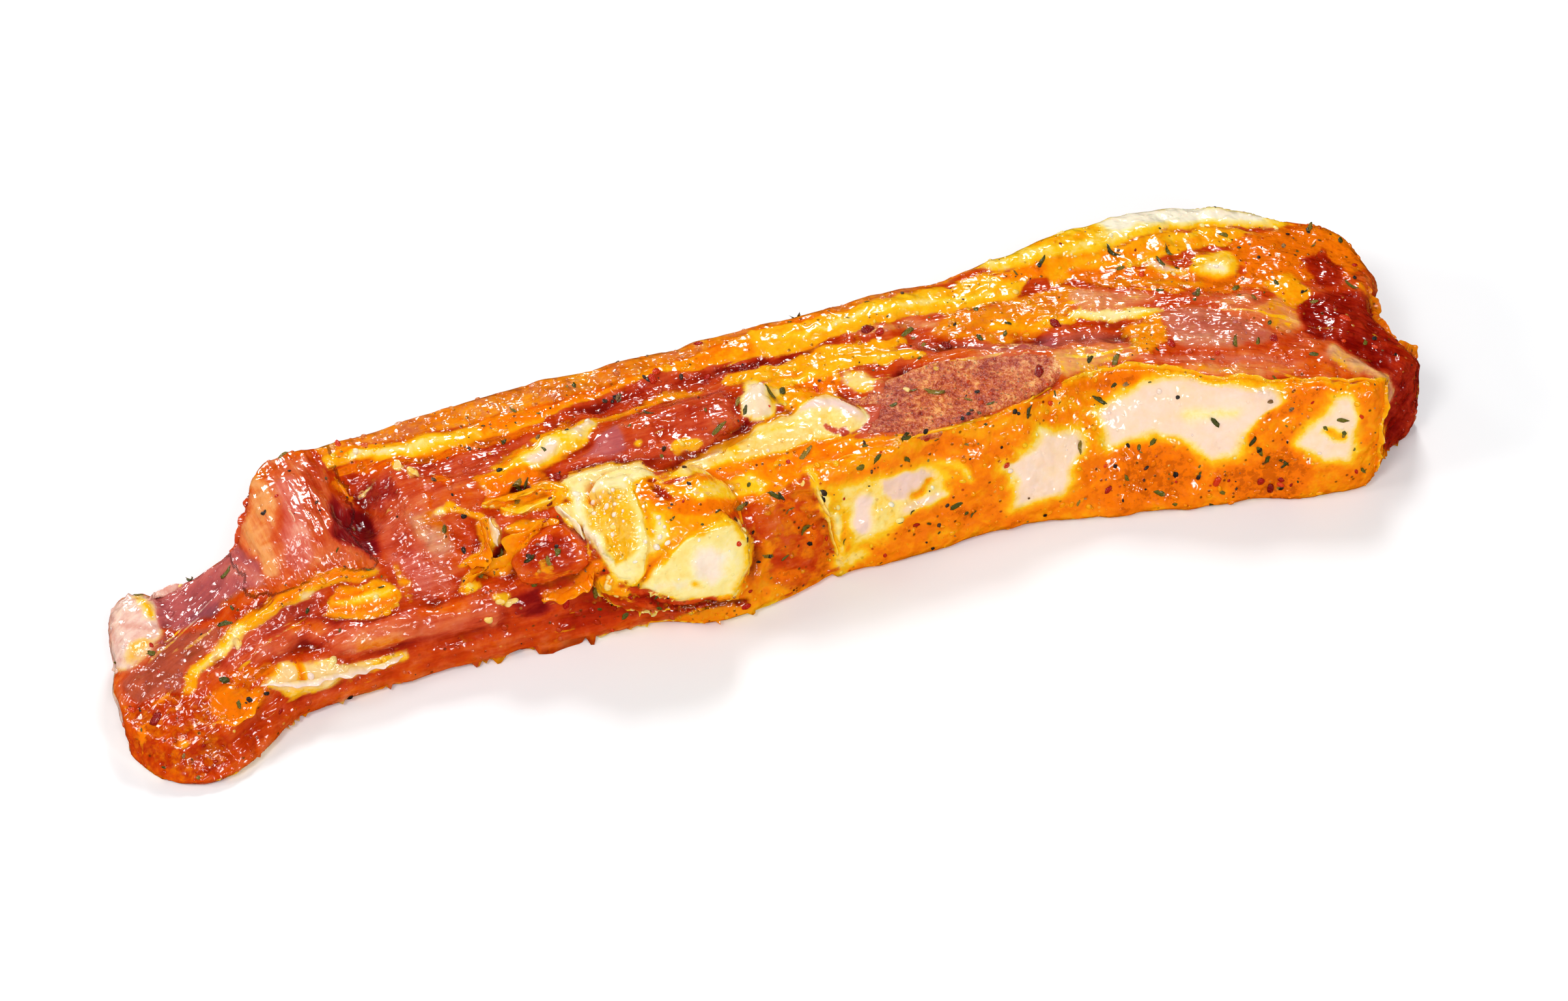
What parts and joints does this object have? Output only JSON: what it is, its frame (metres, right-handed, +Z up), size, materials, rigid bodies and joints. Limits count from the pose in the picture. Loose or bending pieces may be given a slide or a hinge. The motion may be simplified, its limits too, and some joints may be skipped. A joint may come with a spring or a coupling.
{
  "type": "raw bone-in pork belly slice",
  "caption": "Long raw slice of bone-in pork belly in marinade, lying on its cut face, with rind behind, sawn rib and rib cartilage in front.",
  "frame": {"origin": "bottom centre of the whole slice, on the surface that it lies on", "axes": "+X along the slice towards its thick end, +Y towards the rind side, +Z up out of the upper cut face"},
  "size_m": [0.2584, 0.0618, 0.0277],
  "materials": {
    "marinated_flesh": null,
    "sawn_bone": null,
    "cartilage": null
  },
  "bodies": {
    "root": {"meat_slice": "marinated_flesh", "rib_bone": "sawn_bone", "rib_cartilage": "cartilage"}
  },
  "joints": []
}
